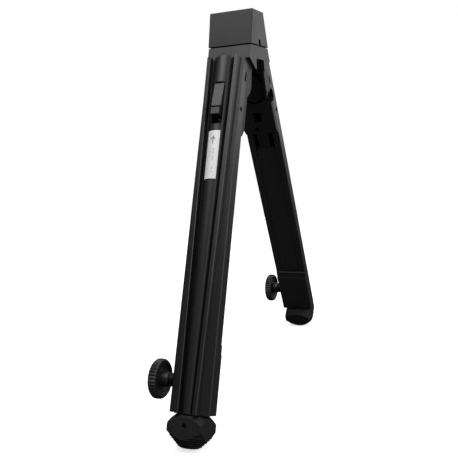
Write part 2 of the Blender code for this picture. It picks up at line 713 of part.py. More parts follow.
# ---------------------------------------------------------------- latch
def make_slider_button(side, leg, plastic):
    """The sliding button: a foot under the shell, a wedge face and a raised thumb ledge."""
    half = SLOT_HALF_WIDTH - 0.0004
    top = SLOT_TOP + 0.0017
    wedge_end = 0.0566
    ledge_end = 0.0654
    crest = BOSS_CREST
    low = 0.0023
    foot = leg_box(half + 0.0005, (-low - 0.0011, -low), (top, ledge_end))
    face = [(-low, top), (-crest + 0.0004, top), (-crest, top + 0.0006),
            (-crest - 0.0034, wedge_end - 0.0008), (-crest - 0.0030, wedge_end),
            (-low, wedge_end + 0.0020)]
    ledge = [(-low, wedge_end - 0.0010), (-crest - 0.0022, wedge_end - 0.0010),
             (-crest - 0.0022, wedge_end + 0.0008), (-crest - 0.0044, wedge_end + 0.0014),
             (-crest - 0.0046, ledge_end - 0.0006), (-crest - 0.0036, ledge_end),
             (-low, ledge_end)]
    parts = [leg_prism(face, (-half, half)), leg_prism(ledge, (-half + 0.0006, half - 0.0006)), foot]
    obj = solid(parts)
    finish(obj, f"{SIDE_NAMES[side]}_slider_button", plastic)
    place_on_leg(obj, side, leg, (0, 0, CROSS_PIN_S))


def make_latch_slide(side, leg, steel):
    """The steel latch under the button: a flat bar, a crosshead and a hook to the head."""
    half = LATCH_HALF_WIDTH
    head = CROSS_PIN_S + 0.0022
    bar = leg_box(half, (-0.0018, 0.0012), (CROSS_PIN_S - 0.0045, LATCH_END))
    crosshead = leg_box(half, (0.0010, FLOOR_Q - 0.0011), (0.0012, head))
    hook = leg_prism([(0.0086, -0.0035), (0.0116, -0.0046), (0.0116, -0.0070), (0.0146, -0.0070),
                      (0.0160, -0.0055), (0.0160, 0.0010), (0.0110, 0.0016), (0.0086, 0.0016)],
                     (-half, half))
    cut = leg_box(half * 2, (-0.01, 0.0078), (-0.001, 0.0055))
    bore = cylinder(CROSS_PIN_RADIUS + GAP * 0.7, -half * 2, half * 2, (1, 0, 0),
                    (0, CROSS_PIN_Q, -CROSS_PIN_S))
    obj = solid([bar, crosshead, hook], [cut, bore])
    finish(obj, f"{SIDE_NAMES[side]}_latch_slide", steel)
    place_on_leg(obj, side, leg, (0, 0, CROSS_PIN_S))


def make_cross_pin(side, leg, steel):
    """The pin through the latch that guides it in the slots of the leg's sides."""
    reach = HALF_WIDTH - 0.0006
    bm = cylinder(CROSS_PIN_RADIUS, -reach, reach, (1, 0, 0), (0, CROSS_PIN_Q, -CROSS_PIN_S), 16)
    obj = as_object(bm)
    finish(obj, f"{SIDE_NAMES[side]}_latch_pin", steel)
    place_on_leg(obj, side, leg, (0, CROSS_PIN_Q, CROSS_PIN_S))


def make_latch_spring(side, leg, steel):
    """The coil spring in the boss that pushes the latch back up the leg."""
    start, end = LATCH_END + 0.0009, PLATE_END + 0.0015
    curve = bpy.data.curves.new("spring", "CURVE")
    curve.dimensions = "3D"
    curve.bevel_depth = SPRING_WIRE
    curve.bevel_resolution = 1
    curve.use_fill_caps = True
    steps = SPRING_TURNS * 10
    spline = curve.splines.new("POLY")
    spline.points.add(steps)
    for i in range(steps + 1):
        angle = math.tau * SPRING_TURNS * i / steps
        height = start + (end - start) * i / steps
        spline.points[i].co = (SPRING_RADIUS * math.cos(angle),
                               SPRING_RADIUS * math.sin(angle), -height, 1)
    made = bpy.data.objects.new("spring", curve)
    bpy.context.scene.collection.objects.link(made)
    mesh = bpy.data.meshes.new_from_object(
        made.evaluated_get(bpy.context.evaluated_depsgraph_get()))
    bpy.data.objects.remove(made)
    bm = bmesh.new()
    bm.from_mesh(mesh)
    bmesh.ops.remove_doubles(bm, verts=bm.verts, dist=1e-6)
    obj = as_object(bm)
    finish(obj, f"{SIDE_NAMES[side]}_latch_spring", steel)
    place_on_leg(obj, side, leg)


# ---------------------------------------------------------------- telescoping bar
def make_inner_bar(side, leg, aluminium):
    """The sliding bar: a hollow box with a raised rail between the shell's lips."""
    low, high = SHELL_WALL + 2 * GAP, SIDE_DEPTH - SHELL_WALL - 2 * GAP
    end = LEG_LENGTH + BAR_INTO_FOOT
    start = BAR_TOP + GUIDE_LENGTH + GAP
    neck = LIP_GAP_HALF - 2 * GAP
    body = leg_box(BAR_HALF_WIDTH, (low, high), (start, LEG_LENGTH - 0.0010))
    rail = leg_box(neck, (high - 0.0006, SIDE_DEPTH - GAP), (start, LEG_LENGTH - 0.0010))
    stem = leg_box(neck, (low, high), (LEG_LENGTH - 0.004, end))
    hollow = leg_box(BAR_HALF_WIDTH - BAR_WALL, (low + BAR_WALL, high - BAR_WALL),
                     (0, LEG_LENGTH - 0.009))
    core = leg_box(neck - BAR_WALL, (low + BAR_WALL, high - BAR_WALL), (LEG_LENGTH - 0.02, end * 2))
    pin = foot_pin_tool(FOOT_PIN_RADIUS + GAP)
    obj = solid([body, rail, stem], [hollow, core, pin])
    finish(obj, f"{SIDE_NAMES[side]}_inner_bar", aluminium)
    place_on_leg(obj, side, leg)


def make_bar_guide(side, leg, plastic):
    """The plastic guide at the bar's top, its exposed face widening to the full rail."""
    low, high = SHELL_WALL + 2 * GAP, SIDE_DEPTH - SHELL_WALL - GAP
    wide = HALF_WIDTH - SHELL_WALL - GAP
    neck = LIP_GAP_HALF - 2 * GAP
    block = leg_box(wide, (low, high), (BAR_TOP, BAR_TOP + GUIDE_LENGTH))
    flare = [(-TONGUE_HALF_WIDTH, -BAR_TOP), (TONGUE_HALF_WIDTH, -BAR_TOP),
             (neck, -BAR_TOP - 0.0042), (neck, -BAR_TOP - GUIDE_LENGTH),
             (-neck, -BAR_TOP - GUIDE_LENGTH), (-neck, -BAR_TOP - 0.0042)]
    face = prism(flare, high - 0.0006, SIDE_DEPTH - GAP, "Y")
    finish(solid([block, face]), f"{SIDE_NAMES[side]}_bar_guide", plastic)
    place_on_leg(bpy.data.objects[f"{SIDE_NAMES[side]}_bar_guide"], side, leg)


# ---------------------------------------------------------------- lower clamp
def make_clamp_collar(side, leg, plastic):
    """The collar over the leg's lower inner face, with a raised band at its top."""
    base = SIDE_DEPTH + GAP
    outline = [(base, COLLAR_TOP - 0.0036), (base + COLLAR_DEPTH * 0.6, COLLAR_TOP - 0.0030),
               (base + COLLAR_DEPTH * 0.6, COLLAR_TOP + COLLAR_BAND - 0.0015),
               (base + COLLAR_DEPTH, COLLAR_TOP + COLLAR_BAND), (base + COLLAR_DEPTH, LEG_LENGTH),
               (base, LEG_LENGTH)]
    obj = solid([leg_prism(outline, (-HALF_WIDTH, HALF_WIDTH))])
    finish(obj, f"{SIDE_NAMES[side]}_clamp_collar", plastic)
    place_on_leg(obj, side, leg)


def clamp_centre(x):
    return (-x, CLAMP_Q, -CLAMP_S)


def make_clamp_bush(side, leg, steel):
    """The threaded bush in the leg's side that the thumbscrew runs in."""
    inside, outside = HALF_WIDTH - SHELL_WALL + GAP, HALF_WIDTH + GAP
    barrel = PAD_RADIUS + GAP
    profile = [(0, inside), (barrel, inside), (barrel, outside), (BUSH_RADIUS, outside),
               (BUSH_RADIUS, outside + BUSH_HEIGHT - 0.0006),
               (BUSH_RADIUS - 0.0006, outside + BUSH_HEIGHT), (0, outside + BUSH_HEIGHT)]
    bore = cylinder(STUD_RADIUS + GAP, 0, LEG_WIDTH, (-1, 0, 0), clamp_centre(0))
    obj = solid([turned(profile, (-1, 0, 0), clamp_centre(0))], [bore])
    finish(obj, f"{SIDE_NAMES[side]}_clamp_bush", steel)
    place_on_leg(obj, side, leg, (-HALF_WIDTH, CLAMP_Q, CLAMP_S))


def make_clamp_pad(side, leg, brass):
    """The pressure pad between the thumbscrew's tip and the bar's side."""
    near = BAR_HALF_WIDTH + GAP
    bm = cylinder(PAD_RADIUS, near, near + PAD_THICKNESS, (-1, 0, 0), clamp_centre(0))
    obj = as_object(bm)
    finish(obj, f"{SIDE_NAMES[side]}_clamp_pad", brass)
    place_on_leg(obj, side, leg, (-BAR_HALF_WIDTH, CLAMP_Q, CLAMP_S))


def make_clamp_stud(side, leg, steel):
    """The threaded stud of the thumbscrew."""
    start = BAR_HALF_WIDTH + PAD_THICKNESS + 2 * GAP
    end = KNOB_CENTRE + KNOB_RIM / 2 - 0.0020
    profile = [(0, start), (STUD_RADIUS - 0.0006, start), (STUD_RADIUS, start + 0.0006),
               (STUD_RADIUS, end), (0, end)]
    obj = as_object(turned(profile, (-1, 0, 0), clamp_centre(0), 20))
    finish(obj, f"{SIDE_NAMES[side]}_clamp_stud", steel)
    place_on_leg(obj, side, leg, (-KNOB_CENTRE, CLAMP_Q, CLAMP_S))


def make_knob(side, leg, plastic):
    """The thumbscrew's knob: a scalloped rim, a dished face towards the leg and a neck."""
    inner, outer = KNOB_CENTRE - KNOB_RIM / 2, KNOB_CENTRE + KNOB_RIM / 2
    neck_end = HALF_WIDTH + 2 * GAP + BUSH_HEIGHT
    rim, bore = KNOB_RADIUS, STUD_RADIUS + GAP
    floor = outer - 0.0017
    profile = [
        (0, floor), (bore, floor), (bore, neck_end), (0.0058, neck_end),
        (0.0066, neck_end + 0.0008), (0.0072, inner + 0.0022), (0.0100, inner + 0.0030),
        (0.0140, inner + 0.0022), (rim - 0.0030, inner), (rim - 0.0012, inner),
        (rim, inner + 0.0014), (rim, outer - 0.0016), (rim - 0.0016, outer),
        (rim - 0.0046, outer), (rim - 0.0064, outer - 0.0010), (0, outer - 0.0010),
    ]
    body = turned(profile, (0, 0, 1), (0, 0, 0), KNOB_TEETH * KNOB_STEPS)
    for vert in body.verts:
        if vert.co.xy.length > rim - 0.0005:
            phase = KNOB_TEETH * math.atan2(vert.co.y, vert.co.x)
            vert.co.xy *= 1 - KNOB_GROOVE / rim * (0.5 - 0.5 * math.cos(phase))
    turn = Matrix.Rotation(math.radians(-90), 4, "Y")
    bmesh.ops.transform(body, matrix=Matrix.Translation(clamp_centre(0)) @ turn, verts=body.verts)
    obj = as_object(body)
    finish(obj, f"{SIDE_NAMES[side]}_thumbscrew_knob", plastic)
    place_on_leg(obj, side, leg, (-KNOB_CENTRE, CLAMP_Q, CLAMP_S))


# ---------------------------------------------------------------- foot
def below_floor():
    """Everything under the floor, in leg coordinates."""
    tool = box((-0.05, 0.05), (-0.05, 0.05), (-0.05, 0.0))
    q, s = leg_coordinates(FOOT_Y, TOTAL_HEIGHT)
    place = Matrix.Translation((0, q, -s)) @ Matrix.Rotation(LEG_TILT, 4, "X")
    bmesh.ops.transform(tool, matrix=place, verts=tool.verts)
    return tool


def foot_pin_tool(radius, low=-0.05, high=0.05):
    """The cross pin's cylinder, square to the leg through the foot, in leg coordinates."""
    return cylinder(radius, low, high, (0, 1, 0), (0, 0, -FOOT_PIN_S), 20)


def foot_profile():
    """The turned outline of the foot from its sole up: ridged cone, straight band, cone."""
    top = 0.0420
    slope = (FOOT_CORNER - FOOT_SOLE_RADIUS) / FOOT_CORNER_LOW
    points = [(0, 0), (FOOT_SOLE_RADIUS - FOOT_SOLE_ROUND, 0),
              (FOOT_SOLE_RADIUS - FOOT_SOLE_ROUND * 0.25, FOOT_SOLE_ROUND * 0.18),
              (FOOT_SOLE_RADIUS + FOOT_SOLE_ROUND * 0.35, FOOT_SOLE_ROUND * 0.5)]
    for i in range(FOOT_RIDGES):
        height = FOOT_FIRST_RIDGE + FOOT_RIDGE_PITCH * i
        radius = FOOT_SOLE_RADIUS + slope * height
        points += [(radius, height - 0.0006), (radius - FOOT_RIDGE_STEP, height)]
    rise = (top - FOOT_SHOULDER) * FOOT_SHOULDER_SLOPE
    return points + [(FOOT_CORNER, FOOT_CORNER_LOW), (FOOT_CORNER, FOOT_SHOULDER),
                     (FOOT_CORNER - rise, top), (0, top)]


def make_foot(side, leg, rubber):
    """The rubber foot: a square block turned to cones on the bar's end, flat on the floor."""
    q_low, q_high = SHELL_WALL + GAP, SIDE_DEPTH - SHELL_WALL - GAP
    neck = LIP_GAP_HALF - 2 * GAP
    half = FOOT_WIDTH / 2
    block = leg_box(half, (FOOT_Q - half, FOOT_Q + half), (0.33, 0.39))
    corners = [edge for edge in block.edges
               if abs(edge.verts[0].co.z - edge.verts[1].co.z) > 0.01]
    soften(block, 0.0012, corners)
    cones = turned(foot_profile(), (0, 0, 1), (0, FOOT_Q, -FOOT_SOLE_S), 64)
    above = leg_box(LEG_WIDTH, (-LEG_WIDTH, LEG_WIDTH), (0.2, LEG_LENGTH + FOOT_CLEARANCE))
    socket = leg_box(neck + GAP, (q_low - 0.0001, q_high + 0.0001),
                     (0.2, LEG_LENGTH + BAR_INTO_FOOT + GAP))
    cuts = [above, below_floor(), socket,
            foot_pin_tool(FOOT_PIN_RADIUS + GAP, -0.05, FOOT_PIN_TIP + GAP),
            foot_pin_tool(FOOT_RECESS_RADIUS, -0.05, FOOT_PIN_HEAD)]
    obj = solid([cones], cuts, [block])
    finish(obj, f"{SIDE_NAMES[side]}_foot", rubber)
    place_on_leg(obj, side, leg, (0, FOOT_Q, FOOT_SOLE_S))


def make_foot_pin(side, leg, steel):
    """The pin through the foot and the bar's end."""
    obj = as_object(foot_pin_tool(FOOT_PIN_RADIUS, FOOT_PIN_HEAD, FOOT_PIN_TIP))
    finish(obj, f"{SIDE_NAMES[side]}_foot_pin", steel)
    place_on_leg(obj, side, leg, (0, FOOT_PIN_HEAD, FOOT_PIN_S))


def build():
    """Makes every piece of the stand at rest, with its legs open."""
    for obj in list(bpy.data.objects):
        bpy.data.objects.remove(obj)
    satin = material("black_satin_plastic", (0.020, 0.020, 0.022), 0.42)
    aluminium = material("black_anodised_aluminium", (0.016, 0.016, 0.018), 0.38, 0.35)
    casting = material("black_cast_nylon", (0.018, 0.018, 0.020), 0.50)
    rubber = material("black_rubber", (0.014, 0.014, 0.015), 0.70)
    steel = material("zinc_plated_steel", (0.42, 0.42, 0.44), 0.35, 1.0)
    brass = material("brass", (0.60, 0.45, 0.18), 0.35, 1.0)
    paper = material("white_label", (0.86, 0.86, 0.85), 0.50)

    make_head_cap(satin)
    make_head_body(satin)
    make_hinge_yoke(steel)
    make_yoke_screws(steel)
    make_hinge_pins(steel)

    for side in (NEAR, FAR):
        hinge = from_top(0, side * HINGE_HALF_SPACING, HINGE_DROP)
        leg = empty(f"{SIDE_NAMES[side]}_leg_axis", hinge, side * LEG_TILT)
        make_leg_shell(side, leg, aluminium)
        make_bracket(side, leg, casting)
        make_hinge_disc(side, leg, casting)
        make_bracket_rivet(side, leg, steel)
        make_slider_button(side, leg, satin)
        make_latch_slide(side, leg, steel)
        make_cross_pin(side, leg, steel)
        make_latch_spring(side, leg, steel)
        make_inner_bar(side, leg, aluminium)
        make_bar_guide(side, leg, casting)
        make_clamp_collar(side, leg, casting)
        make_clamp_bush(side, leg, steel)
        make_clamp_pad(side, leg, brass)
        make_clamp_stud(side, leg, steel)
        make_knob(side, leg, satin)
        make_foot(side, leg, rubber)
        make_foot_pin(side, leg, steel)
        if side == NEAR:
            make_label(side, leg, paper)


build()
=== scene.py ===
"""Finishes, fine detail and studio for a folding two-legged support stand.

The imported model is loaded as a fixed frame. Each CAD solid is taken as a copy whose seams
are merged and whose edges are eased, gets its finish, and rides on the body of its solid.
A ringed insert is added to each clamp knob. Lengths are metres and angles are radians, unless
a comment or docstring says degrees.
"""
import json
import logging
import math
from dataclasses import dataclass
from enum import Enum

import bmesh
import bpy
from mathutils import Matrix, Vector

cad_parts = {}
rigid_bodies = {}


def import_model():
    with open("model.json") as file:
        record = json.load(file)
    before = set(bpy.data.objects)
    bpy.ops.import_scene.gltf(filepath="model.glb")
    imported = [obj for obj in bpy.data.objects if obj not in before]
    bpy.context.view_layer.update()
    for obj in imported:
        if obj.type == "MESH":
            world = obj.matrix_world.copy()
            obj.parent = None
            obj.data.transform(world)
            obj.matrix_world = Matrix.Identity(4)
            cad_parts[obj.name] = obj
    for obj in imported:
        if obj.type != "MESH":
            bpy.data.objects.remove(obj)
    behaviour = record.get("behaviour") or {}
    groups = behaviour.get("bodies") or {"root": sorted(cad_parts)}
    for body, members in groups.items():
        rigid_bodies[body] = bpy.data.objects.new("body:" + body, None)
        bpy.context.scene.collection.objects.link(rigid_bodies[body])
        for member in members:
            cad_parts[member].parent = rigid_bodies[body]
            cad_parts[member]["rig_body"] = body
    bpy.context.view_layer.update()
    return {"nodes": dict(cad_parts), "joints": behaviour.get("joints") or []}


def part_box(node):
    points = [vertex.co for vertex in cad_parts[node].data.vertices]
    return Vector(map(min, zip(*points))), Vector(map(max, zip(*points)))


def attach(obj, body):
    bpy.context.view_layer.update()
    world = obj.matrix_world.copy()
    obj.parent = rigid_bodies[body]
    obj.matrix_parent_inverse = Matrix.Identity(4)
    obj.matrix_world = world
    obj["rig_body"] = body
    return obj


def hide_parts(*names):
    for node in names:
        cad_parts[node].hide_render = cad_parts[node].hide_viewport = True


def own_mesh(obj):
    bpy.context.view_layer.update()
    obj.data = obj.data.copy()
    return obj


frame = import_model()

LOG = logging.getLogger("stand")


class Side(Enum):
    """The two legs, by where they stand."""

    NEAR = "near"
    FAR = "far"

    @property
    def sign(self) -> float:
        """-1 for the leg in front and 1 for the one behind."""
        return -1.0 if self is Side.NEAR else 1.0


class Colour(Enum):
    """Base colours, linear."""

    PLASTIC = (0.0125, 0.0125, 0.0130)
    ANODISED = (0.0085, 0.0085, 0.0092)
    NYLON = (0.0100, 0.0100, 0.0105)
    RUBBER = (0.0130, 0.0130, 0.0128)
    DARK_STEEL = (0.022, 0.022, 0.023)
    ZINC = (0.46, 0.46, 0.48)
    BRASS = (0.62, 0.46, 0.20)
    PAPER = (0.94, 0.94, 0.93)
    SOILED_PAPER = (0.60, 0.59, 0.56)
    INK = (0.05, 0.05, 0.055)
    # Dust, and the pale tone painted on edges as a highlight along with wear
    DUST = (0.20, 0.195, 0.185)
    STUDIO = (0.90, 0.90, 0.90)
    PALE_STUDIO = (0.92, 0.92, 0.92)
    WHITE = (1.0, 1.0, 1.0)

    @property
    def rgba(self) -> tuple[float, float, float, float]:
        """The colour with full alpha."""
        return (*self.value, 1.0)

    def shade(self, strength: float) -> tuple[float, float, float, float]:
        """The colour with full alpha, darker below a strength of 1 and paler above it."""
        return (*(min(1.0, strength * channel) for channel in self.value), 1.0)


# ---------------------------------------------------------------- shader language
EDGE_SAMPLES = 6
# 1 less the cosine between the eased and the plain direction, where a rim starts and is full
RIM_TURN = (0.008, 0.16)


class Wire:
    """One output of a node, which takes part in sums as a number would."""

    def __init__(self, graph: "Graph", socket: bpy.types.NodeSocket) -> None:
        """Holds the graph it belongs to and the socket itself."""
        self.graph = graph
        self.socket = socket

    def __add__(self, other: "Wire | float") -> "Wire":
        """Sum."""
        return self.graph.sum_of("ADD", self, other)

    def __radd__(self, other: float) -> "Wire":
        """Sum, from the right."""
        return self.graph.sum_of("ADD", other, self)

    def __sub__(self, other: "Wire | float") -> "Wire":
        """Difference."""
        return self.graph.sum_of("SUBTRACT", self, other)

    def __rsub__(self, other: float) -> "Wire":
        """Difference, from the right."""
        return self.graph.sum_of("SUBTRACT", other, self)

    def __mul__(self, other: "Wire | float") -> "Wire":
        """Product."""
        return self.graph.sum_of("MULTIPLY", self, other)

    def __rmul__(self, other: float) -> "Wire":
        """Product, from the right."""
        return self.graph.sum_of("MULTIPLY", other, self)

    def __truediv__(self, other: "Wire | float") -> "Wire":
        """Quotient."""
        return self.graph.sum_of("DIVIDE", self, other)

    def __rtruediv__(self, other: float) -> "Wire":
        """Quotient, from the right."""
        return self.graph.sum_of("DIVIDE", other, self)

    def __lt__(self, other: "Wire | float") -> "Wire":
        """1 where this is less than the other, else 0."""
        return self.graph.sum_of("LESS_THAN", self, other)

    def __gt__(self, other: "Wire | float") -> "Wire":
        """1 where this is greater than the other, else 0."""
        return self.graph.sum_of("GREATER_THAN", self, other)

    def __abs__(self) -> "Wire":
        """Size without its sign."""
        return self.graph.sum_of("ABSOLUTE", self)

    def fraction(self) -> "Wire":
        """The part after the point."""
        return self.graph.sum_of("FRACT", self)

    def whole(self) -> "Wire":
        """The whole number below."""
        return self.graph.sum_of("FLOOR", self)

    def held(self) -> "Wire":
        """Kept from 0 to 1."""
        return self.graph.node("ShaderNodeClamp", {"Value": self})

    def eased(self, low: float, high: float) -> "Wire":
        """A smooth step.

        Args:
            low: Where the step starts.
            high: Where it reaches 1.

        Returns:
            0 below low and 1 above high.
        """
        return self.graph.node(
            "ShaderNodeMapRange",
            {"Value": self, "From Min": low, "From Max": high},
            interpolation_type="SMOOTHSTEP",
        )


class Graph:
    """A node tree, grown one node at a time."""

    def __init__(self, tree: bpy.types.NodeTree) -> None:
        """Holds the tree that the nodes are added to."""
        self.tree = tree

    def node(
        self,
        kind: str,
        sockets: "dict[str | int, Wire | float | tuple] | None" = None,
        output: int | str = 0,
        **settings: str | int,
    ) -> Wire:
        """Adds one node.

        Args:
            kind: The node's type name.
            sockets: Values or wires by the input's name or place.
            output: The output to return, by name or place.
            **settings: The node's own settings, set before its sockets.

        Returns:
            The chosen output.
        """
        made = self.tree.nodes.new(kind)
        for key, value in settings.items():
            setattr(made, key, value)
        for key, value in (sockets or {}).items():
            self.plug(made.inputs[key], value)
        return Wire(self, made.outputs[output])

    def plug(self, socket: bpy.types.NodeSocket, value: "Wire | float | tuple") -> None:
        """Links a wire to an input, or sets a plain value on it.

        Args:
            socket: The input.
            value: The wire or the value.
        """
        if isinstance(value, Wire):
            self.tree.links.new(value.socket, socket)
        else:
            socket.default_value = value

    def sum_of(self, operation: str, *values: "Wire | float") -> Wire:
        """One Math node."""
        return self.node("ShaderNodeMath", dict(enumerate(values)), operation=operation)

    def blend(self, share: "Wire | float", low: "Wire | tuple", high: "Wire | tuple") -> Wire:
        """Mixes two colours.

        Args:
            share: 0 for the first colour and 1 for the second.
            low: The first colour.
            high: The second colour.

        Returns:
            The mixed colour.
        """
        return self.node(
            "ShaderNodeMix", {0: share, 6: low, 7: high}, output=2, data_type="RGBA"
        )

    def place(
        self, turn: float = 0.0, scale: tuple = (1.0, 1.0, 1.0), shift: tuple = (0.0, 0.0, 0.0)
    ) -> Wire:
        """Object coordinates turned about X, then stretched and shifted.

        Args:
            turn: Angle about X, in radians.
            scale: How many times each axis is stretched.
            shift: What is added, after the turn.

        Returns:
            The coordinates.
        """
        here = self.node("ShaderNodeTexCoord", output="Object")
        turned = self.node(
            "ShaderNodeMapping", {"Vector": here, "Rotation": (turn, 0, 0), "Location": shift}
        )
        if tuple(scale) == (1.0, 1.0, 1.0):
            return turned
        return self.node("ShaderNodeMapping", {"Vector": turned, "Scale": scale})

    def axes(self, vector: Wire) -> tuple[Wire, Wire, Wire]:
        """The three numbers of a vector."""
        split = self.node("ShaderNodeSeparateXYZ", {"Vector": vector}).socket.node
        return tuple(Wire(self, output) for output in split.outputs)

    def noise(self, vector: Wire, scale: float, detail: float = 3.0, rough: float = 0.55) -> Wire:
        """Smooth noise from 0 to 1.

        Args:
            vector: Where it is read.
            scale: Waves per metre.
            detail: Octaves.
            rough: Weight of the finer octaves.

        Returns:
            The noise.
        """
        return self.node(
            "ShaderNodeTexNoise",
            {"Vector": vector, "Scale": scale, "Detail": detail, "Roughness": rough},
        )

    def cells(self, vector: Wire, scale: float) -> Wire:
        """Distance to the nearest of scattered points."""
        return self.node("ShaderNodeTexVoronoi", {"Vector": vector, "Scale": scale})

    def rounded(self, radius: float) -> Wire:
        """The surface's direction, turned near an edge as if the edge were round."""
        return self.node("ShaderNodeBevel", {"Radius": radius}, samples=EDGE_SAMPLES)

    def rims(self, radius: float) -> Wire:
        """Finds the outer and inner edges.

        Args:
            radius: How far from an edge the rim reaches.

        Returns:
            1 on a rim, and 0 on flat faces.
        """
        soft = self.rounded(radius)
        hard = self.node("ShaderNodeNewGeometry", output="Normal")
        same = self.node(
            "ShaderNodeVectorMath", {0: soft, 1: hard}, output="Value", operation="DOT_PRODUCT"
        )
        return (1.0 - same).eased(*RIM_TURN)

    def bump(self, height: Wire, distance: float, normal: Wire | None = None) -> Wire:
        """A surface direction from a height.

        Args:
            height: The height, from 0 to 1.
            distance: What a height of 1 stands for.
            normal: The direction it starts from.

        Returns:
            The new direction.
        """
        sockets = {"Height": height, "Distance": distance, "Strength": 1.0}
        if normal is not None:
            sockets["Normal"] = normal
        return self.node("ShaderNodeBump", sockets)


class Surface(Graph):
    """A material's node tree, ended by a Principled BSDF."""

    def __init__(self, name: str) -> None:
        """Starts the material with its shader.

        Args:
            name: The material's name.
        """
        self.material = bpy.data.materials.new(name)
        self.material.use_nodes = True
        super().__init__(self.material.node_tree)
        self.shader = self.tree.nodes["Principled BSDF"]

    def dress(self, **sockets: "Wire | float | tuple") -> bpy.types.Material:
        """Sets the shader's inputs and returns the material.

        Args:
            **sockets: Values or wires, by the input's name with _ for a space.

        Returns:
            The finished material.
        """
        for key, value in sockets.items():
            self.plug(self.shader.inputs[key.replace("_", " ")], value)
        return self.material


# ---------------------------------------------------------------- finishes
@dataclass(frozen=True)
class MouldedPlastic:
    """Black plastic from a fine sparked mould, a little polished where hands touch it, its edges
    painted paler as highlight and wear.
    """

    name: str
    colour: Colour = Colour.PLASTIC
    roughness: float = 0.42
    gloss: float = 0.5
    # waves per metre, and the pits' share of the grain's
    grain: float = 5200.0
    pit_share: float = 0.45
    clouds: float = 55.0
    rim_patches: float = 420.0
    dust_specks: float = 900.0
    # metres
    depth: float = 0.000022
    edge: float = 0.00035
    # strengths
    shades: tuple[float, float] = (0.80, 1.22)
    edge_wear_and_highlight: float = 0.20
    dust: float = 0.03
    cloudiness: float = 0.16
    sparkle: float = 0.10
    polish: float = 0.08

    def make(self, turn: float = 0.0) -> bpy.types.Material:
        """Builds the material.

        Args:
            turn: The tilt of the piece about X, in radians.

        Returns:
            The material.
        """
        g = Surface(self.name)
        here = g.place(turn)
        grain = g.noise(here, self.grain, 2.0, 0.6)
        pits = g.cells(here, self.grain * self.pit_share)
        cloud = g.noise(here, self.clouds, 4.0, 0.6)
        rims = g.rims(self.edge) * g.noise(here, self.rim_patches, 3.0).eased(0.30, 0.62)
        specks = g.noise(here, self.dust_specks, 5.0, 0.7).eased(0.60, 0.80)
        low, high = self.shades
        base = g.blend(cloud, self.colour.shade(low), self.colour.shade(high))
        # Edges turn pale here: a painted highlight as well as wear. The specks are dust.
        base = g.blend(rims * self.edge_wear_and_highlight + specks * self.dust, base, Colour.DUST.rgba)
        rough = self.roughness + (cloud - 0.5) * self.cloudiness
        rough = rough + (grain - 0.5) * self.sparkle - rims * self.polish
        height = grain * 0.6 + pits * 0.4
        return g.dress(
            Base_Color=base,
            Roughness=rough.held(),
            Normal=g.bump(height, self.depth, g.rounded(self.edge)),
            Specular_IOR_Level=self.gloss,
        )


@dataclass(frozen=True)
class DrawnAluminium:
    """Black anodised extrusion: die lines along the leg, fine matt etch, and edges painted paler
    as highlight and wear.
    """

    name: str
    colour: Colour = Colour.ANODISED
    roughness: float = 0.40
    gloss: float = 0.55
    # waves per metre, and how much longer lines and scuffs are than wide
    lines: float = 1500.0
    bands: float = 330.0
    stretch: float = 0.012
    scuffs: float = 700.0
    scuff_stretch: float = 0.16
    etch: float = 7000.0
    clouds: float = 34.0
    rim_patches: float = 300.0
    # metres
    depth: float = 0.000030
    edge: float = 0.00030
    # strengths
    shades: tuple[float, float] = (0.82, 1.25)
    edge_wear_and_highlight: float = 0.20
    scuffing: float = 0.02

    def make(self, turn: float = 0.0) -> bpy.types.Material:
        """Builds the material.

        Args:
            turn: The tilt of the leg about X, in radians.

        Returns:
            The material.
        """
        g = Surface(self.name)
        here = g.place(turn)
        drawn = g.place(turn, (1.0, 1.0, self.stretch))
        lines = g.noise(drawn, self.lines, 2.0, 0.5)
        wide = g.noise(drawn, self.bands, 2.0, 0.5)
        etch = g.noise(here, self.etch, 2.0, 0.6)
        cloud = g.noise(here, self.clouds, 4.0, 0.55)
        rims = g.rims(self.edge) * g.noise(here, self.rim_patches, 3.0).eased(0.28, 0.60)
        long = g.place(turn, (1.0, 1.0, self.scuff_stretch))
        scuffs = g.noise(long, self.scuffs, 4.0, 0.7).eased(0.66, 0.80)
        low, high = self.shades
        base = g.blend(
            wide.eased(0.35, 0.65), self.colour.shade(low), self.colour.shade(high)
        )
        # Edges turn pale here: a painted highlight as well as wear. The scuffs are real.
        base = g.blend(rims * self.edge_wear_and_highlight + scuffs * self.scuffing, base, Colour.DUST.rgba)
        rough = self.roughness + (cloud - 0.5) * 0.12 + (lines - 0.5) * 0.16 + scuffs * 0.06
        height = lines * 0.55 + wide * 0.30 + etch * 0.15
        return g.dress(
            Base_Color=base,
            Roughness=rough.held(),
            Specular_IOR_Level=self.gloss,
            Normal=g.bump(height, self.depth, g.rounded(self.edge)),
        )


